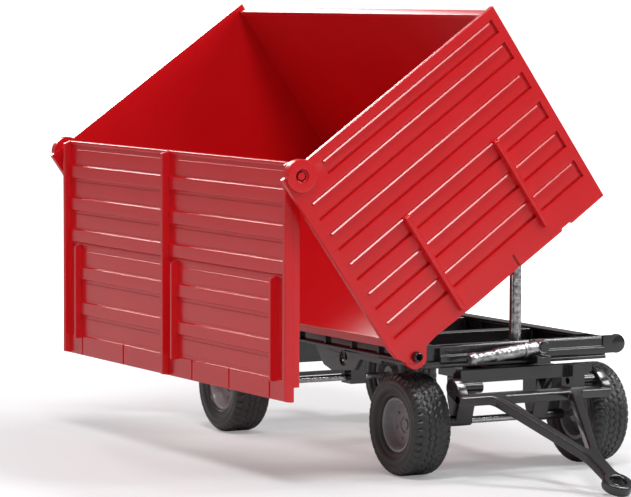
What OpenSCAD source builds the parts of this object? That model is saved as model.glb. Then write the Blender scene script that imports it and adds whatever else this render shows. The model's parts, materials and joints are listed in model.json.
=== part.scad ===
// Two-axle tipping grain trailer, a small scale model.
// Millimetres. X forward (towards the drawbar), Y to the trailer's left, Z up.
// The body is tipped to the right about two pins, with its right side board hanging open,
// a stay holding it up and the drawbar let down. The origin is the centre of the towing eye.

/* [Box] */
// Length of the box over its front and rear walls
box_length = 147; // [120:1:175]
// Width of the box over its front wall
box_width = 80; // [74:1:96]
// Height of the walls above the tipping pins
wall_height = 63.6; // [53:0.1:77]
// Thickness of the front and rear walls
wall_t = 1.8; // [1.6:0.1:2.2]
// Thickness of the left wall
side_t = 1.6; // [1.2:0.1:2.4]
// Thickness of the floor
floor_t = 1.3; // [1.1:0.1:1.4]
// Height of the floor's underside above the tipping pins
floor_rise = 2.9; // [2.9:0.1:3.4]
// Angle that the box is tipped by
tip_angle = 35.2; // [30:0.1:38]

/* [Side board] */
// Height of the side board's hinge above the tipping pins
hinge_rise = 61.3; // [50:0.1:74]
// Thickness of the side board's skin
board_t = 1.5; // [1.2:0.1:1.6]
// Gap between the side board's end and the wall beside it
board_end_gap = 2.4; // [1.8:0.1:3]
// Radius of the side board's hinge pins
board_pin_r = 1; // [0.8:0.05:1.2]
// Radius of the round hinge bosses on the walls
boss_r = 4.5; // [3.8:0.1:5]

/* [Chassis] */
// Height of the tipping pins above the ground
pivot_z = 34; // [33:0.1:38]
// Radius of the tipping pins
pivot_pin_r = 1.3; // [1:0.05:1.6]
// Depth of the rails and the end beams
rail_depth = 5.2; // [4.6:0.1:5.6]
// Width of each rail
rail_w = 4.5; // [3.5:0.1:5]
// Distance between the rails' centres
rail_gauge = 55; // [52:0.5:56]
// Radius of the kingpin
kingpin_r = 2.5; // [2:0.1:3]

/* [Wheels] */
// Radius of a tyre
tyre_r = 14.1; // [13:0.1:14.3]
// Width of a tyre
tyre_w = 11.3; // [9.5:0.1:11.5]
// Distance between the left and right tyres' centres
track = 58.4; // [58.2:0.2:66]
// Distance between the front and rear axles
wheelbase = 103; // [92:1:118]
// Radius of the rims
rim_r = 7.6; // [6.5:0.1:8.5]
// Radius of the axles
axle_r = 1; // [0.8:0.05:1.3]

/* [Drawbar] */
// Distance from the drawbar's hinge to the towing eye
drawbar_reach = 49; // [42:0.5:58]
// Height of the drawbar's hinge above the ground
drawbar_hinge_z = 25.2; // [24.9:0.1:25.6]
// Radius of the hole in the towing eye
eye_hole_r = 2.2; // [1.6:0.1:2.4]
// Radius of the drawbar's hinge pins
drawbar_pin_r = 0.9; // [0.7:0.05:1.1]

/* [Stays] */
// Radius of the standing stay
stay_r = 1.6; // [1.2:0.1:1.6]
// Length of the standing stay, from its hinge to the centre of its round end
stay_length = 24; // [22:0.1:24.2]
// Length of the lying ram from its hinge to its tip
ram_length = 23.6; // [21:0.1:26]
// Radius of the lying ram's barrel
ram_r = 1.9; // [1.5:0.1:2]

/* [Hidden] */
$fn = 48;
fit_gap = 0.07;      // radial clearance between a pin and its bore
part_gap = 0.3;      // clearance between pieces that move past each other
edge_out = 6.2;      // from a tipping pin to the nearer edge of the box
edge_u = edge_out - 0.6;   // the end walls' open edge, from the tipping pins
foot_drop = 0.6;     // how far the walls reach below the tipping pins
lug_rise = 6.5;      // where an end wall's edge starts to run in to its lug
lug_r = 3.4;         // the rounded lug around a tipping pin
hinge_in = 0.6;      // the side board's hinge lies this far outside the tipping pins
pivot_y = box_width / 2 - edge_out;
inner_u = box_width - edge_out - side_t;   // inner face of the left wall, from the pins
floor_u = 0.4;       // the floor's open edge, from the pins
floor_top = floor_rise + floor_t;
rail_top = pivot_z + 2.3;
rail_z = rail_top - rail_depth;
rail_y = rail_gauge / 2;
beam_t = 2.8;        // the end beams, front to back
beam_gap = 0.6;      // from an end wall to the beam behind it
beam_x = -wall_t - beam_gap;
pivot_ear_t = board_end_gap - beam_gap - part_gap;   // the beam's ears at the tipping pins
seat_t = 1;          // the plates under the rails
kingpin_x = -11;
rear_axle_x = kingpin_x - wheelbase;
axle_z = tyre_r;
ring_t = 1;          // the bogie's turntable ring
ring_z = rail_z - seat_t - 0.2 - ring_t;
bogie_t = 2.6;
bogie_z = ring_z - bogie_t;
stand_y = 12.5;      // centre of each axle plate
stand_t = 5.4;
stand_drop = 1.9;     // from the axles' centres to the bottom of the plates around them
hinge_x = 3;         // the drawbar's hinge
hinge_tube_r = 1.7;
hinge_tube_in = 15.2;
hinge_lug_in = 13.3;  // the solid lug beside the left hinge tube
hinge_tube_out = 21.4;
arm_t = 3;
drawbar_t = 2.8;
drawbar_drop = 1;    // the drawbar's middle plane lies this far below its hinge
eye_r = 4.1;
// The tilt at which the eye's lowest edge lies on the ground
function eye_low(a) = drawbar_hinge_z - (drawbar_reach + eye_r) * sin(a)
                      - (drawbar_drop + drawbar_t / 2) * cos(a);
function tilt_between(lo, hi, n) = n == 0 ? (lo + hi) / 2
    : eye_low((lo + hi) / 2) > 0 ? tilt_between((lo + hi) / 2, hi, n - 1)
    : tilt_between(lo, (lo + hi) / 2, n - 1);
drawbar_tilt = tilt_between(5, 45, 24);
eye_x = hinge_x + drawbar_reach * cos(drawbar_tilt) - drawbar_drop * sin(drawbar_tilt);
eye_z = drawbar_hinge_z - drawbar_reach * sin(drawbar_tilt) - drawbar_drop * cos(drawbar_tilt);
stay_x = -7.7;
stay_y = 2.9;
stay_z = 34.4;
stay_pin_r = 0.8;
stay_boss_r = 2;
tray_t = 0.7;
ear_t = 0.9;
ram_x = 3.3;
ram_y = 4.2;
ram_z = 35.2;
ram_slope = 6;
ram_pin_r = 0.8;
board_len = box_length - 2 * (wall_t + board_end_gap);
board_top = 3.6;     // the side board's edge above its hinge
board_drop = hinge_rise - 0.7;
board_face = 1;      // the skin's outer face, outside the hinge line

// ---- helpers ----

// The stretch that reaches half to each side of middle
function span(middle, half) = [middle - half, middle + half];

module block(x, y, z) {
    translate([x[0], y[0], z[0]]) cube([x[1] - x[0], y[1] - y[0], z[1] - z[0]]);
}

module rod_x(r, x, y, z) {
    translate([x[0], y, z]) rotate([0, 90, 0]) cylinder(r = r, h = x[1] - x[0]);
}

module rod_y(r, x, y, z) {
    translate([x, y[0], z]) rotate([-90, 0, 0]) cylinder(r = r, h = y[1] - y[0]);
}

// Moves the trailer from the ground frame to the towing eye's frame.
module from_eye() {
    translate([-eye_x, 0, -eye_z]) children();
}

// The box's own frame: origin on the tipping pins, Y across the floor, Z up the walls.
module in_box() {
    from_eye() translate([0, -pivot_y, pivot_z]) rotate([tip_angle, 0, 0]) children();
}

// The side board's frame: origin on its hinge, hanging straight down.
module in_board() {
    from_eye()
        translate([0,
            -pivot_y - hinge_in * cos(tip_angle) - hinge_rise * sin(tip_angle),
            pivot_z - hinge_in * sin(tip_angle) + hinge_rise * cos(tip_angle)])
        children();
}

// The drawbar's frame: origin on its hinge, X along the bar.
module in_drawbar() {
    from_eye() translate([hinge_x, 0, drawbar_hinge_z]) rotate([0, drawbar_tilt, 0]) children();
}

// The far end of the chassis, drawn like the near end.
module at_rear() {
    translate([-box_length, 0, 0]) mirror([1, 0, 0]) children();
}

// ---- box ----

recess_h = 5.6;
recess_d = 0.6;
recess_pitch = 10;
recess_first = 8;
post_t = 1.3;
post_w = 2;
post_span = 34;      // between the two posts of an end wall
post_top = 34;

module end_wall() {
    wall_w = box_width - edge_out;
    difference() {
        union() {
            block([-wall_t, 0], [-edge_u, wall_w], [lug_rise, wall_height]);
            block([-wall_t, 0], [lug_r * 0.5, wall_w], [-foot_drop, lug_rise + 1]);
            translate([-wall_t, 0, 0]) rotate([90, 0, 90]) linear_extrude(wall_t)
                polygon([[-edge_u, lug_rise + 1], [-edge_u, lug_rise], [-edge_u + 1, 1.5],
                    [-lug_r + 0.6, -1], [0, -1], [lug_r * 0.6, lug_rise + 1]]);
            rod_x(lug_r, [-wall_t, 0], 0, 0);
            rod_x(boss_r, [-wall_t, 1.2], -hinge_in, hinge_rise);
            for (side = [-1, 1])
                block([0, post_t], span((wall_w + side * post_span) / 2, post_w / 2),
                    [recess_first - 6, post_top]);
        }
        rod_x(pivot_pin_r + fit_gap, [-wall_t - 1, 1], 0, 0);
        rod_x(board_pin_r + fit_gap, [-wall_t - 1, 2], -hinge_in, hinge_rise);
        rod_x(board_pin_r + 0.6, [0.5, 2], -hinge_in, hinge_rise);
        for (i = [0 : 4])
            difference() {
                block([-recess_d, 0.01], [-2.6, wall_w - 2.4],
                    span(recess_first + i * recess_pitch + recess_h / 2, recess_h / 2));
                for (side = [-1, 1])
                    block([-1, 1], span((wall_w + side * post_span) / 2, post_w / 2),
                        [0, post_top]);
            }
        block([-recess_d, 0.01], [boss_r + 1, wall_w - 2.4],
            [recess_first + 5 * recess_pitch, wall_height - 2.6]);
    }
}

module front_wall() {
    color("firebrick") in_box() end_wall();
}

module rear_wall() {
    color("firebrick") in_box() at_rear() end_wall();
}

module left_wall() {
    outer_u = inner_u + side_t;
    color("firebrick") in_box() {
        difference() {
            block([-box_length + wall_t, -wall_t], [inner_u, outer_u],
                [floor_rise, wall_height - 1.2]);
            for (i = [0 : 4])
                block([-box_length + wall_t + 3, -wall_t - 3], [outer_u - recess_d, outer_u + 1],
                    span(recess_first + i * recess_pitch + recess_h / 2, recess_h / 2));
        }
    }
}

module box_floor() {
    lip_t = 1.4;
    lip_back = 7.5;
    color("firebrick") in_box() {
        block([-box_length + wall_t, -wall_t], [floor_u, inner_u], [floor_rise, floor_top]);
        block([-box_length + lip_back, -lip_back], [floor_u, floor_u + lip_t], [1, floor_rise]);
    }
}

// ---- side board ----

module board_post(x, w, z_high, z_low) {
    block([x - w / 2, x + w / 2], [-board_face - 1.9, -board_face], [z_low, z_high]);
}

module side_board() {
    front_x = -wall_t - board_end_gap;
    rear_x = front_x - board_len;
    middle_x = rear_x + board_len * 0.48;
    flange_t = 1.5;
    flange_d = 1.6;
    plank_h = 4.4;
    plank_t = 0.5;
    rail_h = 6.2;
    planks_up = [7.2, 16.9, 26.4];
    planks_down = [37.4, 48];
    outer = -board_face;
    inner = outer + board_t;
    color("firebrick") in_board() {
        block([rear_x, front_x], [outer, inner], [-board_drop, board_top]);
        for (x = [rear_x, front_x - flange_t])
            block([x, x + flange_t], [inner, inner + flange_d], [-board_drop + 3.9, -4.5]);
        for (d = concat(planks_up, planks_down))
            block([rear_x + 2, front_x - 2], [outer - plank_t, outer],
                span(board_top - d - plank_h / 2, plank_h / 2));
        block([rear_x + 1.4, front_x - 1.4], [outer - plank_t, outer],
            [-board_drop, -board_drop + rail_h]);
        for (x = [rear_x + 1, middle_x, front_x - 1])
            board_post(x, 2, board_top, -board_drop);
        for (f = [0.06, 0.52, 0.935])
            block([rear_x + f * board_len - 0.8, rear_x + f * board_len + 0.8],
                [outer - 1.2, outer], [-board_drop + rail_h, board_top - 31]);
    }
}

module side_board_pins() {
    inner_end = wall_t + board_end_gap;
    color("firebrick") in_board()
        for (flip = [0, 1])
            translate([flip * -box_length, 0, 0]) mirror([flip, 0, 0]) {
                rod_x(board_pin_r, [-inner_end, 0.4], 0, 0);
                rod_x(board_pin_r + 0.9, [-inner_end, -wall_t - part_gap], 0, 0);
            }
}

// ---- chassis ----

pivot_boss_r = 2.7;

module end_beam() {
    beam_end = rail_y + rail_w / 2;
    block([beam_x - beam_t, beam_x], [-beam_end, beam_end], [rail_z, rail_top]);
    for (side = [-1, 1]) {
        rod_x(pivot_boss_r, [beam_x - pivot_ear_t, beam_x], side * pivot_y, pivot_z);
        block([beam_x - pivot_ear_t, beam_x],
            side > 0 ? [beam_end - 1, pivot_y] : [-pivot_y, 1 - beam_end],
            [pivot_z - pivot_boss_r + 0.2, pivot_z + pivot_boss_r - 0.2]);
    }
}

module front_beam() {
    back = beam_x - beam_t;
    tray_x = stay_x - stay_boss_r - ear_t;
    color("dimgray") from_eye() difference() {
        union() {
            end_beam();
            block([tray_x, back], [-2, rail_y + rail_w / 2], [rail_z, rail_z + tray_t]);
            block([rail_front - 1.5, back], [rail_y + rail_w / 2 - 0.9, rail_y + rail_w / 2],
                [rail_z, rail_top]);
            block([tray_x, tray_x + ear_t], [stay_y - 2.2, stay_y + 2.2],
                [rail_z, stay_z + 1.6]);
        }
        rod_x(stay_pin_r, [tray_x - 1, back + 1.2], stay_y, stay_z);
        rod_x(pivot_pin_r, [beam_x - beam_t - 1, beam_x + 1], -pivot_y, pivot_z);
    }
}

module rear_beam() {
    color("dimgray") from_eye() at_rear() difference() {
        end_beam();
        rod_x(pivot_pin_r, [beam_x - beam_t - 1, beam_x + 1], -pivot_y, pivot_z);
    }
}

module tipping_pins() {
    color("black") from_eye()
        for (flip = [0, 1])
            translate([flip * -box_length, 0, 0]) mirror([flip, 0, 0])
                rod_x(pivot_pin_r, [beam_x - pivot_ear_t, 1.6], -pivot_y, pivot_z);
}

rail_front = beam_x - beam_t - 3.7 - tray_t;

module rail(side) {
    x_front = side > 0 ? rail_front - 1.5 : beam_x - beam_t;
    block([-box_length - beam_x + beam_t, x_front],
        span(side * rail_y, rail_w / 2), [rail_z, rail_top]);
}

module left_rail() {
    color("dimgray") from_eye() rail(1);
}

module right_rail() {
    color("dimgray") from_eye() rail(-1);
}

module cross_members() {
    inner = rail_y - rail_w / 2;
    color("dimgray") from_eye()
        for (x = [-36, -72, rear_axle_x + 18, rear_axle_x - 14])
            block([x - 2, x + 2], [-inner, inner], [rail_z + 0.6, rail_top - 0.4]);
}

module rail_gussets() {
    gusset_t = 1.4;
    seat_back = -28;
    color("dimgray") from_eye()
        for (side = [-1, 1])
            translate([0, side * rail_y + gusset_t / 2, 0]) rotate([90, 0, 0])
                linear_extrude(gusset_t) difference() {
                    polygon([[-66, rail_z], [-61, 25.5], [-56, 24.2], [-43, 25.6], [-40, 28.9],
                        [seat_back, 28.9], [seat_back, rail_z]]);
                    translate([-49.5, 28.4]) circle(r = 2.1);
                }
}

module turntable_seat() {
    half = rail_y + rail_w / 2;
    color("dimgray") from_eye() difference() {
        block([-27.5, beam_x], [-half, half], [rail_z - seat_t, rail_z]);
        translate([kingpin_x, 0, rail_z - 3]) cylinder(r = kingpin_r, h = 6);
    }
}

module kingpin() {
    head_t = 0.8;
    head_top = bogie_z - 0.2;
    color("dimgray") from_eye() translate([kingpin_x, 0, head_top - head_t]) {
        cylinder(r = kingpin_r, h = rail_z - head_top + head_t);
        cylinder(r = kingpin_r + 1.1, h = head_t);
    }
}

module rear_axle_stand() {
    half = rail_y + rail_w / 2;
    top = rail_z - seat_t;
    color("dimgray") from_eye() translate([rear_axle_x, 0, 0]) difference() {
        union() {
            block([-12, 12], [-half, half], [top, rail_z]);
            for (side = [-1, 1])
                block([-3, 3], span(side * stand_y, stand_t / 2), [axle_z - stand_drop, top]);
            block([-1, 1], [-stand_y, stand_y], [19.6, top]);
            block([-1, 1], [-stand_y, stand_y], [axle_z + axle_r + 0.3, axle_z + axle_r + 1.4]);
        }
        rod_y(axle_r + fit_gap, 0, [-stand_y - stand_t, stand_y + stand_t], axle_z);
    }
}

// ---- wheels ----

hub_r = 2.6;
rim_w = 8.6;

module tyre_at(x, y) {
    shoulder = 2.6;
    half = tyre_w / 2;
    bead = rim_w / 2;
    steps = 5;
    arc = [for (i = [0 : steps]) i * 90 / steps];
    color([0.2, 0.2, 0.2]) from_eye() translate([x, y, axle_z]) rotate([90, 0, 0])
        rotate_extrude() polygon(concat(
            [[rim_r, -bead], [rim_r + 1.2, -half + 0.4]],
            [for (a = arc) [tyre_r - shoulder + shoulder * sin(a), -half + shoulder - shoulder * cos(a)]],
            [for (a = arc) [tyre_r - shoulder + shoulder * cos(a), half - shoulder + shoulder * sin(a)]],
            [[rim_r + 1.2, half - 0.4], [rim_r, bead]]));
}

module rim_at(x, side) {
    bead = rim_w / 2;
    wall = 1;
    color("gray") from_eye() translate([x, side * track / 2, axle_z]) rotate([side * -90, 0, 0])
        difference() {
            rotate_extrude() polygon([[0, -1], [0, 1.6], [hub_r, 1.6], [hub_r, 0.6],
                [rim_r - wall, 0.6], [rim_r - wall, bead], [rim_r, bead], [rim_r, -bead],
                [rim_r - wall, -bead], [rim_r - wall, -0.8], [hub_r, -0.8], [hub_r, -bead],
                [axle_r, -bead], [axle_r, -1]]);
        }
}

module axle(x) {
    color("silver") from_eye() rod_y(axle_r, x, [-track / 2 + 1, track / 2 - 1], axle_z);
}

module rear_axle() { axle(rear_axle_x); }
module front_axle() { axle(kingpin_x); }
module rear_left_tyre() { tyre_at(rear_axle_x, track / 2); }
module rear_right_tyre() { tyre_at(rear_axle_x, -track / 2); }
module front_left_tyre() { tyre_at(kingpin_x, track / 2); }
module front_right_tyre() { tyre_at(kingpin_x, -track / 2); }
module rear_left_rim() { rim_at(rear_axle_x, 1); }
module rear_right_rim() { rim_at(rear_axle_x, -1); }
module front_left_rim() { rim_at(kingpin_x, 1); }
module front_right_rim() { rim_at(kingpin_x, -1); }

// ---- bogie ----

module bogie_frame() {
    beam_back = hinge_x - 4;
    lip_back = hinge_x - 3;     // clear of the turntable ring
    lip_top = rail_z - seat_t - part_gap;
    color("dimgray") from_eye() difference() {
        union() {
            block([beam_back, hinge_x], [-hinge_tube_out, hinge_tube_out],
                [bogie_z, bogie_z + bogie_t]);
            block([lip_back, hinge_x], [-hinge_tube_out, hinge_tube_out], [bogie_z, lip_top]);
            block([lip_back, hinge_x + 2.6], [hinge_lug_in, hinge_tube_in + 2],
                [drawbar_hinge_z - hinge_tube_r, lip_top]);
            block([kingpin_x - 8, beam_back], [-stand_y - stand_t / 2, stand_y + stand_t / 2],
                [bogie_z, bogie_z + bogie_t]);
            for (y = [[-hinge_tube_out, -hinge_tube_in], [hinge_tube_in, hinge_tube_out]])
                rod_y(hinge_tube_r, hinge_x, y, drawbar_hinge_z);
        }
        translate([kingpin_x, 0, 0]) cylinder(r = kingpin_r + fit_gap, h = 60);
        rod_y(drawbar_pin_r + fit_gap, hinge_x, [-40, 40], drawbar_hinge_z);
    }
}

module turntable_ring() {
    color("dimgray") from_eye() difference() {
        translate([kingpin_x, 0, ring_z]) cylinder(r = 10.5, h = ring_t);
        translate([kingpin_x, 0, 0]) cylinder(r = kingpin_r + fit_gap, h = 60);
    }
}

module bogie_axle_plates() {
    color("dimgray") from_eye() translate([kingpin_x, 0, 0]) difference() {
        for (side = [-1, 1])
            block([-4, 4], span(side * stand_y, stand_t / 2), [axle_z - stand_drop, bogie_z]);
        rod_y(axle_r + fit_gap, 0, [-stand_y - stand_t, stand_y + stand_t], axle_z);
    }
}

// ---- drawbar ----

arm_in = hinge_tube_out + part_gap;
arm_out = arm_in + arm_t;
crossbar_x = [3.4, 5.8];
leg_w = 3.2;
leg_foot = 12.6;     // half the distance between the legs' middle lines at the crossbar
apex_x = drawbar_reach - 10.8;
nose_w = 4.2;
bar_z = [-drawbar_drop - drawbar_t / 2, -drawbar_drop + drawbar_t / 2];

module drawbar_arms() {
    color("dimgray") in_drawbar() difference() {
        for (y = [[-arm_out, -arm_in], [arm_in, arm_out]]) {
            rod_y(2.6, 0, y, 0);
            block([0, crossbar_x[0]], y, [bar_z[0], 1.6]);
        }
        rod_y(drawbar_pin_r, 0, [-40, 40], 0);
    }
}

module drawbar_crossbar() {
    color("dimgray") in_drawbar()
        block(crossbar_x, [-arm_out, arm_out], bar_z);
}

module drawbar_legs() {
    start = crossbar_x[1];
    run = apex_x - start;
    nose_end = drawbar_reach - eye_r + 0.8;
    color("dimgray") in_drawbar() intersection() {
        union() {
            for (side = [-1, 1])
                translate([start, side * leg_foot, 0]) rotate([0, 0, -side * atan2(leg_foot, run)])
                    block([-4, norm([run, leg_foot])], [-leg_w / 2, leg_w / 2], bar_z);
            block([apex_x - 4, nose_end], span(0, nose_w / 2), bar_z);
        }
        block([start, nose_end], [-20, 20], bar_z);
    }
}

module towing_eye() {
    color("dimgray") in_drawbar() difference() {
        translate([drawbar_reach, 0, bar_z[0]]) cylinder(r = eye_r, h = drawbar_t);
        translate([drawbar_reach, 0, bar_z[0] - 1]) cylinder(r = eye_hole_r, h = drawbar_t + 2);
        block([apex_x, drawbar_reach - eye_r + 0.8], [-5, 5], [-9, 9]);
    }
}

module drawbar_pins() {
    color("silver") in_drawbar()
        for (y = [[-arm_out, -hinge_tube_in], [hinge_tube_in, arm_out]])
            rod_y(drawbar_pin_r, 0, y, 0);
}

// ---- stay and ram ----

module stay_rod() {
    color("silver") from_eye() difference() {
        union() {
            rod_x(stay_boss_r, span(stay_x, 1.7), stay_y, stay_z);
            translate([stay_x, stay_y, stay_z]) cylinder(r = stay_r, h = stay_length);
            translate([stay_x, stay_y, stay_z + stay_length]) sphere(r = stay_r);
        }
        rod_x(stay_pin_r + fit_gap, span(stay_x, 3), stay_y, stay_z);
    }
}

module stay_pin() {
    tray_x = stay_x - stay_boss_r - ear_t;
    color("silver") from_eye() rod_x(stay_pin_r, [tray_x, beam_x - beam_t + 1.2], stay_y, stay_z);
}

ear_x = 0.5;
ram_half = 1.5;
ram_eye_r = 2.4;
ram_front = ram_x + ram_half + 0.2;

module ram_bracket() {
    color("dimgray") from_eye() difference() {
        union() {
            block([beam_x, ram_front], span(ram_y, 2.2), [rail_z - 0.4, pivot_z - foot_drop - 0.7]);
            block([ear_x, ear_x + 0.7], span(ram_y, 2.2), [rail_z, ram_z + 1.8]);
        }
        rod_x(ram_pin_r, [0, ram_front + 1], ram_y, ram_z);
        rod_x(ram_eye_r + 0.4, [ear_x + 0.7, ram_front + 1], ram_y, ram_z);
    }
}

module ram_pin() {
    color("silver") from_eye() {
        rod_x(ram_pin_r, [ear_x, ram_front], ram_y, ram_z);
        rod_x(ram_pin_r + 0.6, [ram_front, ram_front + 0.5], ram_y, ram_z);
    }
}

// The ram's frame: origin on its hinge, Z along the ram.
module in_ram() {
    from_eye() translate([ram_x, ram_y, ram_z]) rotate([90 + ram_slope, 0, 0]) children();
}

barrel_end = 15.5;

module ram_barrel() {
    color("silver") in_ram() difference() {
        union() {
            rod_x(ram_eye_r, [-ram_half, ram_half], 0, 0);
            translate([0, 0, ram_eye_r - 0.4]) cylinder(r = ram_r, h = barrel_end - ram_eye_r + 0.4);
        }
        rod_x(ram_pin_r + fit_gap, [-5, 5], 0, 0);
    }
}

module ram_rod() {
    color("silver") in_ram() {
        translate([0, 0, barrel_end]) cylinder(r = ram_r - 0.5, h = ram_length - barrel_end - 2.2);
        translate([0, 0, ram_length - 2.2]) cylinder(r = ram_r - 0.1, h = 2.2);
    }
}

front_wall();
rear_wall();
left_wall();
box_floor();
side_board();
side_board_pins();
front_beam();
rear_beam();
left_rail();
right_rail();
cross_members();
rail_gussets();
turntable_seat();
kingpin();
tipping_pins();
rear_axle_stand();
rear_axle();
rear_left_tyre();
rear_right_tyre();
rear_left_rim();
rear_right_rim();
bogie_frame();
bogie_axle_plates();
turntable_ring();
front_axle();
front_left_tyre();
front_right_tyre();
front_left_rim();
front_right_rim();
drawbar_arms();
drawbar_crossbar();
drawbar_legs();
towing_eye();
drawbar_pins();
stay_rod();
stay_pin();
ram_bracket();
ram_barrel();
ram_rod();
ram_pin();
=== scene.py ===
"""A small scale model of a two-axle tipping grain trailer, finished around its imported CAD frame."""

import json
import math

import bmesh
import bpy
from mathutils import Matrix, Vector


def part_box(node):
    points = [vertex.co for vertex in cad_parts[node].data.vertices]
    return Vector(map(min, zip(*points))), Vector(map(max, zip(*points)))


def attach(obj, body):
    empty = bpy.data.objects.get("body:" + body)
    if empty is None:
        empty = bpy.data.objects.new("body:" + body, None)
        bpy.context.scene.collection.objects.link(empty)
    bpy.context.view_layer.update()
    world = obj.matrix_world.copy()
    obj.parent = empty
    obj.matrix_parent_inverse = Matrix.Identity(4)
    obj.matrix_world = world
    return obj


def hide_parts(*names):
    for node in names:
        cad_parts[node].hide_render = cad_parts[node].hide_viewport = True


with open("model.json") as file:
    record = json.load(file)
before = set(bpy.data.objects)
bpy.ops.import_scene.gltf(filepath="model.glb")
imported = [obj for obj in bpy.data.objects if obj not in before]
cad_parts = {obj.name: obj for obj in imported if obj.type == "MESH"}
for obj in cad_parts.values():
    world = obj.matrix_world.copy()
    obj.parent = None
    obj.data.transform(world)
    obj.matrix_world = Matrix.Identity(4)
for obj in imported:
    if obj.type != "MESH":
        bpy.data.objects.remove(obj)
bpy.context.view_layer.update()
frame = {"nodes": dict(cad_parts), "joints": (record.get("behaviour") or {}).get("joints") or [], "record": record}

MM = 0.001
joints = {j["name"]: j for j in frame["joints"]}

# ---- frames: shapes are drawn in millimetres in one of these ----

WALL_T = 1.8           # thickness of the box walls
RAM_LEAN = 96          # degrees from upright to the lying ram
wall_from, wall_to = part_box("left_wall")
front_x = wall_to.x + WALL_T * MM
box_length = (wall_to.x - wall_from.x) / MM + 2 * WALL_T
floor_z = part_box("front_left_tyre")[0].z
tip_angle = math.radians(-joints["box_tip"]["range_deg"][0])
bar_tilt = math.asin(frame["record"]["mounts"][0]["axis"][0])


def at_joint(name, x=None):
    """The frame on a joint, or on its line at x."""
    place = Vector(joints[name]["pos_m"])
    if x is not None:
        place.x = x
    return Matrix.Translation(place)


GROUND = Matrix.Translation((front_x, 0, floor_z))
BOX = at_joint("box_tip", front_x) @ Matrix.Rotation(tip_angle, 4, "X")
BOARD = at_joint("side_board_swing", front_x)
BAR = at_joint("drawbar_lift") @ Matrix.Rotation(bar_tilt, 4, "Y")
STAY = at_joint("stay_fold")
RAM = at_joint("ram_swing") @ Matrix.Rotation(math.radians(RAM_LEAN), 4, "X")
REAR = Matrix.Translation((-box_length * MM, 0, 0)) @ Matrix.Diagonal((-1, 1, 1, 1))

# ---- materials ----

RAMP_START, RAMP_END = 0.35, 0.65                # the part of a noise that a ramp spreads out
MOTTLE_SCALE, GRAIN_SCALE = 40, 2200             # noise scales, per metre
PLASTIC_GLOSS_SCALE, METAL_GLOSS_SCALE = 110, 500


def tree(name):
    mat = bpy.data.materials.new(name)
    mat.use_nodes = True
    nodes = mat.node_tree.nodes
    return mat, nodes, mat.node_tree.links, nodes["Principled BSDF"]


def noise_node(nodes, links, scale, detail=3.0):
    coord = nodes.new("ShaderNodeTexCoord")
    tex = nodes.new("ShaderNodeTexNoise")
    tex.inputs["Scale"].default_value = scale
    tex.inputs["Detail"].default_value = detail
    links.new(coord.outputs["Object"], tex.inputs["Vector"])
    return tex


def ramp(nodes, links, source, low, high):
    node = nodes.new("ShaderNodeValToRGB")
    node.color_ramp.elements[0].position = RAMP_START
    node.color_ramp.elements[1].position = RAMP_END
    node.color_ramp.elements[0].color = (*low, 1)
    node.color_ramp.elements[1].color = (*high, 1)
    links.new(source, node.inputs["Fac"])
    return node


def bump(nodes, links, shader, source, strength, distance):
    node = nodes.new("ShaderNodeBump")
    node.inputs["Strength"].default_value = strength
    node.inputs["Distance"].default_value = distance
    links.new(source, node.inputs["Height"])
    links.new(node.outputs["Normal"], shader.inputs["Normal"])


def uneven_gloss(nodes, links, shader, scale, low, high):
    gloss = noise_node(nodes, links, scale, 2)
    rough = ramp(nodes, links, gloss.outputs["Fac"], (low,) * 3, (high,) * 3)
    links.new(rough.outputs["Color"], shader.inputs["Roughness"])


def moulded(name, low, high, rough_low, rough_high, grain, specular=0.5):
    """Moulded plastic: a mottled colour and gloss, and a fine grain in the surface."""
    mat, nodes, links, shader = tree(name)
    shader.inputs["Specular IOR Level"].default_value = specular
    mottled = noise_node(nodes, links, MOTTLE_SCALE)
    colour = ramp(nodes, links, mottled.outputs["Fac"], low, high)
    links.new(colour.outputs["Color"], shader.inputs["Base Color"])
    uneven_gloss(nodes, links, shader, PLASTIC_GLOSS_SCALE, rough_low, rough_high)
    fine = noise_node(nodes, links, GRAIN_SCALE, 2)
    bump(nodes, links, shader, fine.outputs["Fac"], 0.5, grain)
    return mat


def plated(name, low, high, rough_low, rough_high, dent, scale):
    """Plated metal on a moulded part: bright, with small dents that break up what it mirrors."""
    mat, nodes, links, shader = tree(name)
    shader.inputs["Metallic"].default_value = 1
    tex = noise_node(nodes, links, scale, 5)
    colour = ramp(nodes, links, tex.outputs["Fac"], low, high)
    links.new(colour.outputs["Color"], shader.inputs["Base Color"])
    uneven_gloss(nodes, links, shader, METAL_GLOSS_SCALE, rough_low, rough_high)
    bump(nodes, links, shader, tex.outputs["Fac"], 0.6, dent)
    return mat


RED = moulded("red plastic", (0.72, 0.007, 0.012), (0.75, 0.009, 0.014), 0.22, 0.25, 0.001 * MM,
              specular=0.65)
DARK = moulded("dark plastic", (0.016, 0.015, 0.017), (0.022, 0.021, 0.023), 0.16, 0.22, 0.002 * MM,
               specular=0.8)
RUBBER = moulded("tyre rubber", (0.034, 0.034, 0.034), (0.044, 0.044, 0.044), 0.32, 0.44, 0.02 * MM)
GREY = moulded("grey rim", (0.27, 0.27, 0.28), (0.32, 0.32, 0.33), 0.26, 0.34, 0.004 * MM)
CHROME = plated("chrome", (0.28, 0.28, 0.29), (0.66, 0.66, 0.67), 0.26, 0.38, 0.4 * MM, 700)
STEEL = plated("steel", (0.5, 0.5, 0.5), (0.62, 0.62, 0.62), 0.22, 0.34, 0.03 * MM, 900)

SLOTS = {"red_plastic": RED, "dark_plastic": DARK, "tyre_rubber": RUBBER, "grey_rim": GREY,
         "chrome_metal": CHROME, "steel_pin": STEEL}
part_slot = {part["node"]: part["material_slot"] for part in frame["record"]["subparts"]}
for node_name, thing in frame["nodes"].items():
    mat = SLOTS[part_slot[node_name]]
    thing.data.materials.clear()
    thing.data.materials.append(mat)

# ---- building shells, in millimetres ----

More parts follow.
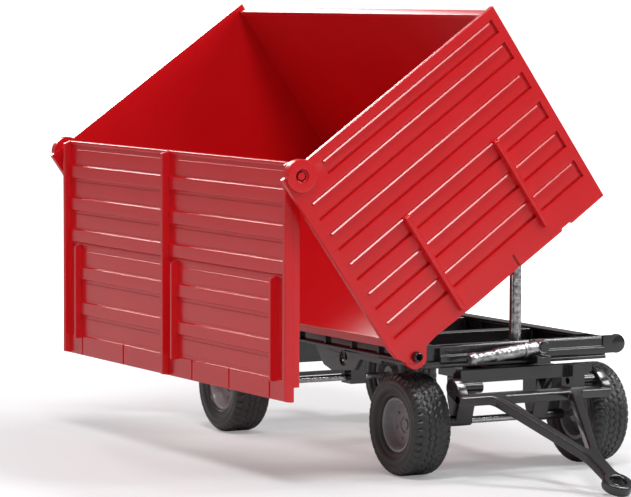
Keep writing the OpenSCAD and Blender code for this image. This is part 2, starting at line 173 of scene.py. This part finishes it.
# Turns for an outline drawn in X and Y: FLAT keeps it, ACROSS puts it in Y and Z, and ALONG and
# OUT put it in X and Z, with its depth towards +Y or -Y.
FLAT = Matrix.Identity(4)
ACROSS = Matrix(((0, 0, 1, 0), (1, 0, 0, 0), (0, 1, 0, 0), (0, 0, 0, 1)))
ALONG = Matrix(((1, 0, 0, 0), (0, 0, 1, 0), (0, 1, 0, 0), (0, 0, 0, 1)))
OUT = Matrix(((1, 0, 0, 0), (0, 0, -1, 0), (0, 1, 0, 0), (0, 0, 0, 1)))
LAP = 0.2              # how far a raised layer sinks into the one under it
WELD_DIST = 0.001      # points closer than this become one
SHARP = 0.5            # radians; sharper edges are rounded


def spread(start, end, steps):
    """Even steps from start up to end."""
    return [start + (end - start) * i / steps for i in range(steps + 1)]


def arc(x, y, radius, start, end, steps):
    return [(x + radius * math.cos(math.radians(angle)), y + radius * math.sin(math.radians(angle)))
            for angle in spread(start, end, steps)]


def circle(x, y, radius, steps=40):
    return arc(x, y, radius, 0, 360, steps)[:-1]


def rect(x, y):
    return [(x[0], y[0]), (x[1], y[0]), (x[1], y[1]), (x[0], y[1])]


class Build:
    """Gathers closed shells into one piece."""

    def __init__(self):
        self.bm = bmesh.new()

    def add(self, shell, turn=FLAT):
        bmesh.ops.recalc_face_normals(shell, faces=shell.faces)
        mesh = bpy.data.meshes.new("shell")
        shell.to_mesh(mesh)
        shell.free()
        mesh.transform(turn)
        if turn.determinant() < 0:
            mesh.flip_normals()
        self.bm.from_mesh(mesh)
        bpy.data.meshes.remove(mesh)

    def plate(self, outline, depth, soft, holes=(), turn=FLAT):
        """A plate with rounded edges, cut to an outline in X and Y."""
        curve = bpy.data.curves.new("plate", "CURVE")
        curve.dimensions, curve.fill_mode = "2D", "BOTH"
        curve.bevel_resolution = 1
        for loop in (outline, *holes):
            spline = curve.splines.new("POLY")
            spline.points.add(len(loop) - 1)
            for point, (x, y) in zip(spline.points, loop):
                point.co = (x, y, 0, 1)
            spline.use_cyclic_u = True
        curve.extrude = (depth[1] - depth[0]) / 2 - soft
        curve.bevel_depth, curve.offset = soft, -soft
        thing = bpy.data.objects.new("plate", curve)
        mesh = bpy.data.meshes.new_from_object(thing)
        shell = bmesh.new()
        shell.from_mesh(mesh)
        bmesh.ops.remove_doubles(shell, verts=shell.verts, dist=WELD_DIST)
        bmesh.ops.translate(shell, verts=shell.verts, vec=(0, 0, sum(depth) / 2))
        bpy.data.objects.remove(thing)
        bpy.data.curves.remove(curve)
        bpy.data.meshes.remove(mesh)
        self.add(shell, turn)

    def loft(self, loops, soft, turn=FLAT):
        """A solid through outlines of equal length, each a list of points in space."""
        shell = bmesh.new()
        rings = [[shell.verts.new(p) for p in loop] for loop in loops]
        for low, high in zip(rings, rings[1:]):
            for i in range(len(low)):
                j = (i + 1) % len(low)
                shell.faces.new((low[i], low[j], high[j], high[i]))
        shell.faces.new(rings[0][::-1])
        shell.faces.new(rings[-1])
        bmesh.ops.recalc_face_normals(shell, faces=shell.faces)
        sharp = [e for e in shell.edges if e.calc_face_angle(0) > SHARP]
        bmesh.ops.bevel(shell, geom=sharp, offset=soft, segments=2, profile=0.5,
                        affect="EDGES", clamp_overlap=True)
        self.add(shell, turn)

    def bar(self, x, y, z, soft):
        self.loft([[(a, b, h) for a, b in rect(x, y)] for h in z], soft)

    def ridge(self, x, y, low, high, slope, soft, turn):
        """A raised strip whose sides lean in by slope = (x low, x high, y low, y high)."""
        top = rect((x[0] + slope[0], x[1] - slope[1]), (y[0] + slope[2], y[1] - slope[3]))
        foot = rect(x, y)
        self.loft([[(a, b, low) for a, b in foot], [(a, b, high) for a, b in top]], soft, turn)

    def lathe(self, profile, turn=FLAT, steps=48):
        """A solid turned about Z from points (radius, height), closed at the axis."""
        shell = bmesh.new()
        rings = []
        for radius, height in profile:
            if radius == 0:
                rings.append([shell.verts.new((0, 0, height))])
            else:
                rings.append([shell.verts.new((radius * math.cos(2 * math.pi * i / steps),
                                               radius * math.sin(2 * math.pi * i / steps), height))
                              for i in range(steps)])
        closed = len(rings[0]) > 1 and len(rings[-1]) > 1
        for low, high in zip(rings, rings[1:] + (rings[:1] if closed else [])):
            for i in range(steps):
                j = (i + 1) % steps
                corners = [low[i % len(low)], low[j % len(low)], high[j % len(high)],
                           high[i % len(high)]]
                shell.faces.new(list(dict.fromkeys(corners)))
        self.add(shell, turn)

    def finish(self, name, place, material, body, *nodes, angle=40):
        """Makes the piece, puts it on its body and hides the CAD nodes that it stands for."""
        mesh = bpy.data.meshes.new(name)
        self.bm.to_mesh(mesh)
        self.bm.free()
        mesh.transform(place @ Matrix.Diagonal((MM, MM, MM, 1)))
        if place.determinant() < 0:
            mesh.flip_normals()
        mesh.shade_smooth()
        mesh.set_sharp_from_angle(angle=math.radians(angle))
        mesh.materials.append(material)
        piece = bpy.data.objects.new(name, mesh)
        bpy.context.collection.objects.link(piece)
        weigh = piece.modifiers.new("even shading", "WEIGHTED_NORMAL")
        weigh.keep_sharp = True
        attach(piece, body)
        if nodes:
            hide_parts(*nodes)


def turn_to(x, y, z, about="Z", angle=0):
    return Matrix.Translation((x, y, z)) @ Matrix.Rotation(math.radians(angle), 4, about)


# ---- box: u runs across from the tipping pins, v is the height above them ----

box_u = 73.8           # outer face of the left wall
inner_u = 72.2         # inner face of the left wall
wall_edge = -5.6       # the end walls' edge at the side board
wall_high = 63.6
skin = 0.4             # depth of the sunk panels
trough = 1             # depth of the channel along a panel's lower edge
channel_w = 0.9
panel_h, panel_pitch, panel_first = 5.6, 10, 8
PANELS = [(panel_first + i * panel_pitch, panel_first + i * panel_pitch + panel_h)
          for i in range(5)]
wide, short = (-2.6, 71.4), (6.5, 71.4)          # the panels' spans; the top one is short
top_panel = (56.6, 61)
hinge_u, hinge_v = -0.6, 61.3
tip_bore, hinge_bore = 1.37, 1.07
POSTS = ((17.8, 19.9, 1.8), (52.4, 54.5, 4))     # both sides and the foot of each post
post_high, post_rise = 33.8, 1.59


def end_wall(name, place):
    build = Build()
    outline = ([(wall_edge, wall_high), (wall_edge, 6.5), (-5.1, 3.2)]
               + arc(-0.1, 0, 3.4, 170, 338, 20)
               + [(4.4, 0.4), (8, 0.7), (24, 0), (40.1, -0.1), (40.1, 3.9), (40.7, 3.9),
                  (40.7, -0.2), (57, -0.5), (57.4, 0.1), (60.7, 0.1), (61, -0.6), (box_u, -0.6),
                  (box_u, wall_high)])
    bores = [circle(0, 0, tip_bore, 24), circle(hinge_u, hinge_v, hinge_bore, 20)]
    spans = [(wide, p) for p in PANELS] + [(short, top_panel)]
    channels = [[(u[0], v[0]), (u[1], v[0]), (u[1], v[1]), (u[1] - channel_w, v[1]),
                 (u[1] - channel_w, v[0] + channel_w), (u[0], v[0] + channel_w)] for u, v in spans]
    build.plate(outline, (-WALL_T, -trough), 0.15, bores, ACROSS)
    build.plate(outline, (-trough - LAP, -skin), 0.15, bores + channels, ACROSS)
    build.plate(outline, (-skin - LAP, 0), 0.18, bores + [rect(u, v) for u, v in spans], ACROSS)
    for u, v in spans:
        build.ridge((u[0] + 0.5, u[1] - 1.2), (v[1] - 1.1, v[1] - 0.1), -skin - LAP / 2, 0.12,
                    (0.2, 0.2, 0.1, 0.62), 0.06, ACROSS)
    disc = [(1.2, -1.7), (4.5, -1.7), (4.5, 0.55), (4.35, 0.8), (4.1, 0.88), (2.15, 0.88),
            (1.95, 0.8), (1.75, 0.2), (1.5, 0), (1.2, 0)]
    build.lathe(disc, turn_to(0, hinge_u, hinge_v, "Y", 90), 64)
    for low, high, foot in POSTS:
        build.ridge((low, high), (foot, post_high), -skin - LAP / 2, post_rise,
                    (0.2, 0.3, 0.2, 0.6), 0.4, ACROSS)
    build.finish(name, place, RED, "box", name)


end_wall("front_wall", BOX)
end_wall("rear_wall", BOX @ REAR)

inside = (-box_length + WALL_T, -WALL_T)         # from end wall to end wall
floor_low, floor_high, floor_edge = 2.9, 4.2, 0.4
left_high = 62.2
left_panels = ((-144, -74.6), (-72.4, -4.8))
lip_w, lip_low, lip_high = 0.9, 60.4, 62.4       # the folded top edge of the left wall
sill_inset = 7.5       # from each end wall to the sill under the floor's open edge

left_wall = Build()
left_wall.plate(rect(inside, (floor_low, left_high)), (inner_u, box_u - skin), 0.15, (), ALONG)
left_wall.plate(rect(inside, (floor_low, left_high)), (box_u - skin - LAP, box_u), 0.2,
                [rect(x, p) for x in left_panels for p in PANELS], ALONG)
left_wall.bar(inside, (inner_u - lip_w, box_u), (lip_low, lip_high), 0.3)
left_wall.finish("left_wall", BOX, RED, "box", "left_wall")

box_floor = Build()
box_floor.plate(rect(inside, (floor_edge, inner_u + LAP)), (floor_low, floor_high), 0.2)
box_floor.bar((-box_length + sill_inset, -sill_inset), (floor_edge, 1.8), (1, 3), 0.15)
box_floor.finish("box_floor", BOX, RED, "box", "box_floor")

# ---- side board: heights from its hinge line, depths out from it ----

face = 1.0             # the board's outer face
front_end, rear_end = -4.2, 4.2 - box_length
board_high, board_foot = 3.6, -60.6
middle = -75.6         # the middle post
post_half = 0.9
left_x, right_x = rear_end + 3, front_end - 2    # the upper ribs' ends
stiles = (-134, -70.2, -11.6)                    # the lower half's own narrow posts
split = -27.6          # the lower half starts below this height
stile_foot, plank_foot = board_foot + 5, board_foot + 6.8
UPPER_RIBS, LOWER_RIBS = (7.2, 16.9, 26.4), (37.4, 48)       # depths below the top edge
rib_h, rib_gap = 4.2, 0.5
rib_rise, plank_rise, stile_rise, lower_rise = 0.6, 0.15, 2.1, 0.15

board = Build()
board.plate(rect((rear_end, front_end), (board_foot, board_high)), (-0.5, face), 0.25, (), OUT)


def raised(x, z, height, slope, soft, sink=LAP):
    """A strip that stands out from the board's face."""
    board.ridge(x, z, face - sink, face + height, slope, soft, OUT)


def plank(x, z, lift):
    raised((x[0] + 1.6, x[1]), z, lift + plank_rise, (1.2, 0.1, 0.08, 0.5), 0.1)


def planking(x, tops, ceiling, foot, lift):
    """Raised ribs at these depths, with a low panel in each space between them."""
    high = ceiling
    for top in tops:
        z = board_high - top
        plank(x, (z + rib_gap, high), lift)
        raised(x, (z - rib_h, z + 0.2), lift + rib_rise, (0.1, 0.1, 0.5, 0.5), 0.08, LAP / 2)
        high = z - rib_h - 0.3
    plank(x, (foot, high), lift)


for x in ((left_x, middle - post_half), (middle + post_half, right_x)):
    planking(x, UPPER_RIBS, board_high - 2.2, split + 0.5, 0)
for x in ((stiles[0], middle - post_half), (stiles[1], stiles[2])):
    raised(x, (stile_foot, split), 0.2, (0.1, 0.1, 0.1, 0.1), 0.08)
    planking(x, LOWER_RIBS, split - 1.2, plank_foot, lower_rise)
for x in stiles:
    raised((x - 0.6, x + 0.6), (stile_foot, split + 0.5), stile_rise, (0.1, 0.1, 0.2, 0.9), 0.15)

foot_rail_high = board_foot + 6.2
notches = [rear_end, -132.2, -104.2, middle - post_half, middle + post_half, -60.2, -37.9, -14.5,
           front_end]
raised((rear_end + 0.6, front_end - 0.6), (board_foot, foot_rail_high - 0.2), 0.2,
       (0.1, 0.1, 0, 0.3), 0.08)
for start, end in zip(notches, notches[1:]):
    raised((start + 0.3, end - 0.3), (board_foot + 0.1, foot_rail_high), 0.5,
           (0.1, 0.1, 0.1, 0.4), 0.12)
for x, height in ((rear_end + post_half, 2), (middle, 2.4), (front_end - post_half, 1.4)):
    raised((x - post_half, x + post_half), (board_foot, board_high), height,
           (0.15, 0.15, 0.4, 0.9), 0.25)
raised((rear_end + 2, front_end - 2), (board_high - 1.3, board_high), 0.35,
       (0.1, 0.1, 0.2, 0.2), 0.12)

flange_t = 1.5
flange = [(0, -4.2), (2.1, -5), (2.1, -56.7), (0, -56.7)]
for x in (rear_end, front_end - flange_t):
    board.plate(flange, (x, x + flange_t), 0.2, (), ACROSS)
board.finish("side_board", BOARD, RED, "side_board", "side_board")

# ---- chassis ----

beam_front, beam_back = -2.4, -5.2
beam_half = 29.75      # from the middle to a beam's end
rail_low, rail_high = 31.1, 36.3
lower_flange, upper_flange = (rail_low, 31.9), (35.5, rail_high)
web = (31.5, 35.9)
pocket_y = -24.3       # the pocket at a beam's right end starts here
pivot_y = -joints["box_tip"]["pos_m"][1] / MM
pivot_z = 34.0
tray_back = -10.6      # the tray that the stay folds into


def along_y(build, outline, y):
    """A bar along Y from its outline in X and Z."""
    build.loft([[(x, at, z) for x, z in outline] for at in y], 0.15)


def beam_end(build, side):
    """The rounded boss at an end of a beam."""
    knob = [(0, 0), (1.9, 0), (2.45, 0.2), (2.69, 0.7), (2.69, 1.5), (0, 1.5)]
    build.lathe(knob, turn_to(beam_front, side * pivot_y, pivot_z, "Y", -90), 40)
    arm = sorted((side * (beam_half - 1), side * pivot_y))
    build.bar((beam_front - 1.5, beam_front - 0.05), arm, (31.5, 36.5), 0.3)


def cross_beam(build):
    """A beam under an end wall: a sunk upper face over a ledge, and an open pocket at its right."""
    profile = [(beam_back, rail_low), (-2.8, rail_low), (beam_front, 31.6), (beam_front, 33.2),
               (-2.9, 33.7), (-2.9, 35.8), (-3.4, rail_high), (beam_back, rail_high)]
    along_y(build, profile, (-24.6, beam_half))
    along_y(build, [(beam_back, rail_low), (-4.4, rail_low), (-4.4, rail_high),
                    (beam_back, rail_high)], (-29.3, pocket_y))
    for z in (lower_flange, (35.6, rail_high)):
        build.bar((beam_back, -2.7), (-beam_half, pocket_y), z, 0.15)
    build.bar((beam_back, -2.6), (-beam_half, -29), (rail_low, rail_high), 0.15)
    for side in (-1, 1):
        beam_end(build, side)


front = Build()
cross_beam(front)
front.bar((tray_back, beam_back + LAP), (-2, beam_half), (rail_low, 31.8), 0.12)
front.bar((tray_back, -9.7), (0.7, 5.1), (rail_low, 36), 0.25)
front.bar((-12.3, beam_back + LAP), (28.85, beam_half), (rail_low, rail_high), 0.15)
front.bar((-9, beam_back + LAP), (-1.6, 0.4), (31.5, 35.6), 0.3)
front.finish("front_beam", GROUND, DARK, "chassis", "front_beam")

rear = Build()
cross_beam(rear)
rear.finish("rear_beam", GROUND @ REAR, DARK, "chassis", "rear_beam")

pins = Build()
pin_r, pin_wall = 1.3, 0.45                      # each pin has a blind bore in its outer end
tube = [(0, -3.6), (pin_r, -3.6), (pin_r, 1.3), (pin_r - 0.12, 1.5), (pin_r - 0.35, 1.58),
        (pin_r - pin_wall, 1.4), (pin_r - pin_wall, -0.4), (0, -0.4)]
pins.lathe(tube, turn_to(0, -pivot_y, pivot_z, "Y", 90), 32)
pins.lathe(tube, turn_to(-box_length, -pivot_y, pivot_z, "Y", -90), 32)
pins.finish("tipping_pins", GROUND, DARK, "chassis", "tipping_pins")

rail_y = 27.5          # from the centre line to a rail's middle
flange_half, web_half, stiffener_half = 2.25, 0.8, 1.7
stiffeners = 9
end_gap = 8            # from a rail's end to its first stiffener


def rail(name, side, rail_front):
    """A rail with a top and a bottom flange, and stiffeners across its web."""
    build = Build()
    middle_y = side * rail_y
    back = -box_length - beam_back
    for z, half in ((upper_flange, flange_half), (lower_flange, flange_half), (web, web_half)):
        build.bar((back, rail_front), (middle_y - half, middle_y + half), z, 0.15)
    for i in range(stiffeners):
        x = back + end_gap + i * (rail_front - back - 2 * end_gap) / (stiffeners - 1)
        build.bar((x - 0.5, x + 0.5), (middle_y - stiffener_half, middle_y + stiffener_half),
                  web, 0.1)
    build.finish(name, GROUND, DARK, "chassis", name)


rail("left_rail", 1, -11.1)
rail("right_rail", -1, beam_back)

# ---- wheels ----

tyre_r, tyre_half, rim_r, bead = 14.097, 5.65, 7.6, 4.3
shoulder = 2.3         # radius of the tyre's shoulder
wheel_y = 29.2         # from the centre line to a wheel's middle
tread_in, tread_fade = 12.4, 0.8                 # where the tread starts, and to its full depth
GROOVES = (-3.5, -1.75, 0, 1.75, 3.5)            # places across the tyre
tread_pitch = 9        # degrees in one zigzag
groove_swing, groove_depth = 0.42, 0.42
notch_depth, notch_from = 0.6, 3.9               # notches lie outside this place across the tyre
tyre_steps = 280


def tread_depth(turn, across):
    """How far the tread is sunk at a turn (in degrees) and a place across the tyre."""
    depth = 0
    for i, line in enumerate(GROOVES):
        phase = (turn / tread_pitch + 0.5 * (i % 2)) % 1
        groove = line + groove_swing * (1 - 4 * abs(phase - 0.5))
        depth = max(depth, groove_depth * min(1, max(0, 1.7 - 6 * abs(across - groove))))
    if abs(across) > notch_from:
        notch = abs((turn / tread_pitch + (0.25 if across > 0 else 0.75)) % 1 - 0.5)
        depth = max(depth, notch_depth * min(1, max(0, 2.2 - 13 * notch)))
    return depth


def tyre_mesh():
    """A tyre about Z, with zigzag grooves, notched shoulders and stepped side walls."""
    wall = [(rim_r, bead), (rim_r + 0.25, bead + 0.45), (8.6, 5.0), (8.9, 4.95), (9.2, 5.3),
            (10.2, 5.55), (11.0, 5.65), (11.35, 5.5), (11.6, 5.62)]
    inset_r, inset_y = tyre_r - shoulder, tyre_half - shoulder
    crown = [(inset_r + shoulder * math.sin(a), inset_y + shoulder * math.cos(a))
             for a in (math.radians(9 * i) for i in range(1, 10))]
    tread = [(tyre_r, inset_y - 0.22 * i) for i in range(1, 16)]
    half = wall + crown + tread
    section = half + [(r, -h) for r, h in reversed(half)]
    shell = bmesh.new()
    rings = []
    for radius, across in section:
        ring = []
        for i in range(tyre_steps):
            turn = 360 * i / tyre_steps
            at = radius
            if radius > tread_in:
                at -= tread_depth(turn, across) * min(1, (radius - tread_in) / tread_fade)
            angle = math.radians(turn)
            ring.append(shell.verts.new((at * math.cos(angle), at * math.sin(angle), across)))
        rings.append(ring)
    for low, high in zip(rings, rings[1:] + rings[:1]):
        for i in range(tyre_steps):
            j = (i + 1) % tyre_steps
            shell.faces.new((low[i], low[j], high[j], high[i]))
    return shell


rim_profile = [(1, -1), (1, -bead), (2.6, -bead), (2.6, -0.8), (6.6, -0.8), (6.6, -bead),
               (rim_r, -bead), (7.3, -3.4), (7.3, 3.4), (rim_r, 4.1), (7.5, bead), (6.95, bead),
               (6.7, 4.05), (6.55, 3.2), (6.2, 1.7), (5.9, 1.45), (5.5, 1.4), (4.9, 1.5),
               (3.4, 1.5), (3.1, 1.6), (2.5, 1.6), (2.3, 1.55), (2.2, 1.2), (1.5, 1.15),
               (1.4, 1.6), (0, 1.6)]
nut = [(0, 1.2), (0.42, 1.2), (0.42, 1.85), (0.3, 2.0), (0, 2.0)]
nuts, nut_ring, first_nut = 6, 4.1, 15           # how many, their circle's radius, degrees


def wheel(axle, side):
    """A tyre and its rim on one end of an axle."""
    body = axle + "_wheels"
    place = at_joint(body + "_roll") @ Matrix.Translation((0, side * wheel_y * MM, 0))
    place = place @ Matrix.Rotation(math.radians(-90 * side), 4, "X")
    label = axle + ("_left" if side > 0 else "_right")
    tyre = Build()
    tyre.add(tyre_mesh())
    tyre.finish(label + "_tyre", place, RUBBER, body, label + "_tyre", angle=70)
    rim = Build()
    rim.lathe(rim_profile, steps=72)
    for i in range(nuts):
        angle = math.radians(360 / nuts * i + first_nut)
        rim.lathe(nut, turn_to(nut_ring * math.cos(angle), nut_ring * math.sin(angle), 0), 6)
    rim.finish(label + "_rim", place, GREY, body, label + "_rim")


for axle in ("front", "rear"):
    for side in (-1, 1):
        wheel(axle, side)

# ---- drawbar ----

bar_low, bar_high = -2.4, 0.4
reach, eye_r, hole_r = 49, 4.1, 2.2              # the eye, from the hinge line
arm_in, arm_out = 21.7, 24.7
arm_outline = arc(0, 0, 2.6, 62, 250, 16) + [(1.6, bar_low), (5.2, bar_low), (5.8, -1.6),
                                             (5.6, -0.2), (4.4, 1.2), (2.6, 2.1)]
half_outline = [(3.4, arm_out), (5.8, arm_out), (6.1, 24.2), (6.1, 15), (7.2, 13.8), (34, 2.75),
                (37.5, 2.1), (44.4, 1.95), (45.7, 2.4)]
bar_outline = (half_outline + arc(reach, 0, eye_r, 143, -143, 36)
               + [(x, -y) for x, y in half_outline[::-1]])
gap = [(6.2, 9.9), (6.5, 10.3), (7.3, 10.3), (32.6, 0.75), (33.3, 0), (32.6, -0.75), (7.3, -10.3),
       (6.5, -10.3), (6.2, -9.9)]
bar = Build()
bar.plate(bar_outline, (bar_low, bar_high), 0.5, [gap, circle(reach, 0, hole_r)])
for y in ((-arm_out, -arm_in), (arm_in, arm_out)):
    bar.plate(arm_outline, y, 0.4, (), ALONG)
bar.finish("drawbar", BAR, DARK, "drawbar", "drawbar_legs", "drawbar_crossbar", "drawbar_arms",
           "towing_eye", angle=50)

# ---- plates that carry the front axle ----

axle_x = -11
axle_bore = 1.05
plate_top, plate_half = 26.3, 3.6
plate_y, brace_y = (9.8, 15.2), (11.6, 13.4)     # from the centre line
plate_outline = [(axle_x - plate_half, plate_top), (axle_x - plate_half, 20.5),
                 (axle_x - 2.2, 16.2), *arc(axle_x, tyre_r, 1.5, 205, 335, 14),
                 (axle_x + 2.2, 16.2), (axle_x + plate_half, 20.5),
                 (axle_x + plate_half, plate_top)]
brace_outline = [(axle_x + 3.4, plate_top), (axle_x + 3.4, 21.5), (axle_x + 6.9, 25.2),
                 (axle_x + 6.9, plate_top)]
collar = [(axle_bore, 15), (1.45, 15), (1.45, 20.6), (1.3, 20.8), (axle_bore, 20.8)]
plates = Build()
for side in (-1, 1):
    plates.plate(plate_outline, sorted(side * y for y in plate_y), 0.4,
                 [circle(axle_x, tyre_r, axle_bore, 20)], ALONG)
    plates.lathe(collar, turn_to(axle_x, 0, tyre_r, "X", -90 * side), 28)
    plates.plate(brace_outline, sorted(side * y for y in brace_y), 0.2, (), ALONG)
plates.finish("bogie_axle_plates", GROUND, DARK, "bogie", "bogie_axle_plates")

# ---- stay and ram: both stand on Z from their pins ----

pin_bore = 0.87
stay_r = 1.58

stay = Build()
stay.lathe([(0, 0.6), (1.2, 0.6), (1.5, 1.4), (stay_r, 2.6), (stay_r, 9), (1.5, 9.3), (1.5, 9.6),
            (stay_r, 9.9), (stay_r, 16.5), (1.48, 16.8), (1.48, 17.1), (1.56, 17.4), (1.5, 22.2),
            (1.25, 23.3), (0.7, 23.8), (0, 23.9)], steps=40)
stay.bar((-0.7, 0.7), (-1.75, -1.1), (2.2, 20), 0.2)
stay.finish("stay_rod", STAY, CHROME, "stay", "stay_rod")
knuckle = Build()
knuckle.lathe([(pin_bore, -1.7), (1.8, -1.7), (2, -1.5), (2, 1.5), (1.8, 1.7), (pin_bore, 1.7)],
              turn_to(0, 0, 0, "Y", 90), 40)
knuckle.finish("stay_knuckle", STAY, DARK, "stay")

ram = Build()
ram.lathe([(pin_bore, -1.5), (1.75, -1.5), (2, -1.2), (2, 1.1), (1.7, 1.5), (pin_bore, 1.5)],
          turn_to(0, 0, 0, "Y", 90), 40)
ram.lathe([(0, 1.4), (1.6, 1.4), (1.8, 2.2), (1.8, 14.8), (1.65, 15.3), (1.4, 15.5), (0, 15.5)],
          steps=40)
ram.lathe([(1.2, 5.0), (2.02, 5.1), (2.02, 5.9), (1.2, 6.0)], steps=40)
ram.finish("ram_barrel", RAM, CHROME, "ram", "ram_barrel")
rod = Build()
rod.lathe([(0, 15.2), (1.4, 15.2), (1.4, 21.3), (0, 21.3)], steps=36)
rod.lathe([(0, 21), (1.3, 21), (1.75, 21.5), (1.8, 22.9), (1.5, 23.4), (0, 23.5)], steps=36)
rod.finish("ram_rod", RAM, CHROME, "ram", "ram_rod")

# ---- CAD nodes that stay: rounded edges only ----

ROUNDED = {"cross_members": 0.2, "rail_gussets": 0.2, "turntable_seat": 0.2,
           "rear_axle_stand": 0.25, "bogie_frame": 0.3, "turntable_ring": 0.15,
           "ram_bracket": 0.15, "side_board_pins": 0.12, "kingpin": 0.15}


def soften(node, width):
    """Rounds the edges of a CAD node in the picture; its mesh stays as it is."""
    thing = frame["nodes"][node]
    weld = thing.modifiers.new("join faces", "WELD")
    weld.merge_threshold = 0.002 * MM
    bevel = thing.modifiers.new("soft edges", "BEVEL")
    bevel.width, bevel.segments = width * MM, 2
    bevel.limit_method, bevel.angle_limit = "ANGLE", math.radians(50)
    weigh = thing.modifiers.new("even shading", "WEIGHTED_NORMAL")
    weigh.keep_sharp = True


for node_name, width in ROUNDED.items():
    soften(node_name, width)
frame["nodes"]["ram_pin"].data.materials[0] = DARK

# ---- stage: in metres ----

FLOOR_HALF = 6
FADE_NEAR, FADE_FAR = 0.16, 0.42                 # from the trailer: where the floor turns white
GLOW_NEAR, GLOW_FAR = 0.24, 1.2
WORLD_LIGHT, WORLD_SEEN = 0.24, 1.1              # for lighting, and as the camera sees it
LIGHTS = (             # name, place from the trailer, width, height, power
    ("key", (0.6, 0.68, 0.62), 0.34, 0.34, 4),
    ("top", (0.34, -0.27, 0.79), 0.3, 0.16, 3.3),
    ("back", (-1.13, -0.03, 0.6), 0.5, 0.3, 7),
    ("crest", (0.08, 0.5, 0.87), 0.3, 0.16, 3.4),
)


def lit_for_camera(nodes, links, source, lift):
    """Adds a glow to a surface that only the camera sees, growing away from the trailer."""
    path = nodes.new("ShaderNodeLightPath")
    glow = nodes.new("ShaderNodeEmission")
    glow.inputs["Color"].default_value = (1, 1, 1, 1)
    amount = nodes.new("ShaderNodeMath")
    amount.operation = "MULTIPLY"
    links.new(path.outputs["Is Camera Ray"], amount.inputs[0])
    links.new(lift, amount.inputs[1])
    links.new(amount.outputs[0], glow.inputs["Strength"])
    both = nodes.new("ShaderNodeAddShader")
    links.new(source, both.inputs[0])
    links.new(glow.outputs[0], both.inputs[1])
    return both


def stage_floor():
    """A white floor that fades to plain white away from the trailer."""
    mesh = bpy.data.meshes.new("floor")
    square = rect((-FLOOR_HALF, FLOOR_HALF), (-FLOOR_HALF, FLOOR_HALF))
    mesh.from_pydata([(x, y, floor_z) for x, y in square], [], [(0, 1, 2, 3)])
    floor = bpy.data.objects.new("floor", mesh)
    bpy.context.collection.objects.link(floor)
    mat, nodes, links, shader = tree("pale floor")
    shader.inputs["Base Color"].default_value = (0.68, 0.68, 0.69, 1)
    shader.inputs["Roughness"].default_value = 0.55
    shader.inputs["Specular IOR Level"].default_value = 0.15
    coord = nodes.new("ShaderNodeTexCoord")
    place = nodes.new("ShaderNodeVectorMath")
    place.operation = "DISTANCE"
    place.inputs[1].default_value = GROUND @ (Vector((-60, -10, 0)) * MM)
    links.new(coord.outputs["Object"], place.inputs[0])
    fade = nodes.new("ShaderNodeMapRange")
    fade.interpolation_type = "SMOOTHSTEP"
    fade.inputs["From Min"].default_value = FADE_NEAR
    fade.inputs["From Max"].default_value = FADE_FAR
    fade.inputs["To Min"].default_value = GLOW_NEAR
    fade.inputs["To Max"].default_value = GLOW_FAR
    links.new(place.outputs["Value"], fade.inputs["Value"])
    both = lit_for_camera(nodes, links, shader.outputs[0], fade.outputs["Result"])
    links.new(both.outputs[0], nodes["Material Output"].inputs["Surface"])
    mesh.materials.append(mat)


def softbox(aim, name, offset, width, height, power):
    """A rectangular light at this offset from what it points at."""
    light = bpy.data.lights.new(name, "AREA")
    light.shape = "RECTANGLE"
    light.size, light.size_y = width, height
    light.energy = power
    lamp = bpy.data.objects.new(name, light)
    lamp.location = aim + Vector(offset)
    lamp.rotation_mode = "QUATERNION"
    lamp.rotation_quaternion = (aim - (aim + Vector(offset))).to_track_quat("-Z", "Y")
    bpy.context.collection.objects.link(lamp)


def studio(aim):
    """A dim white world that the camera sees as white, and the lights."""
    world = bpy.data.worlds.new("studio")
    bpy.context.scene.world = world
    world.use_nodes = True
    nodes, links = world.node_tree.nodes, world.node_tree.links
    path = nodes.new("ShaderNodeLightPath")
    shade = nodes.new("ShaderNodeMapRange")
    shade.inputs["To Min"].default_value = WORLD_LIGHT
    shade.inputs["To Max"].default_value = WORLD_SEEN
    links.new(path.outputs["Is Camera Ray"], shade.inputs["Value"])
    nodes["Background"].inputs["Color"].default_value = (1, 1, 1, 1)
    links.new(shade.outputs["Result"], nodes["Background"].inputs["Strength"])
    for light in LIGHTS:
        softbox(aim, *light)


def camera():
    """The view from the front right, from a little above the wheels."""
    azimuth, elevation, roll = (math.radians(a) for a in (60.69, 4.49, 0.23))
    distance = 989.99 * MM
    back = Vector((math.sin(azimuth) * math.cos(elevation),
                   -math.cos(azimuth) * math.cos(elevation), math.sin(elevation)))
    target = GROUND @ (Vector((-116.13, 0, 53.99)) * MM)
    data = bpy.data.cameras.new("camera")
    data.sensor_width = 36
    data.lens = 184.54
    data.clip_start, data.clip_end = 0.05, 20
    cam = bpy.data.objects.new("camera", data)
    bpy.context.collection.objects.link(cam)
    cam.rotation_mode = "QUATERNION"
    cam.location = target + back * distance
    turn = Matrix.Rotation(roll, 3, "Z").to_quaternion()
    cam.rotation_quaternion = (-back).to_track_quat("-Z", "Y") @ turn
    bpy.context.scene.camera = cam


stage_floor()
studio(GROUND @ (Vector((-70, 0, 40)) * MM))
camera()
bpy.context.scene.view_settings.view_transform = "Standard"
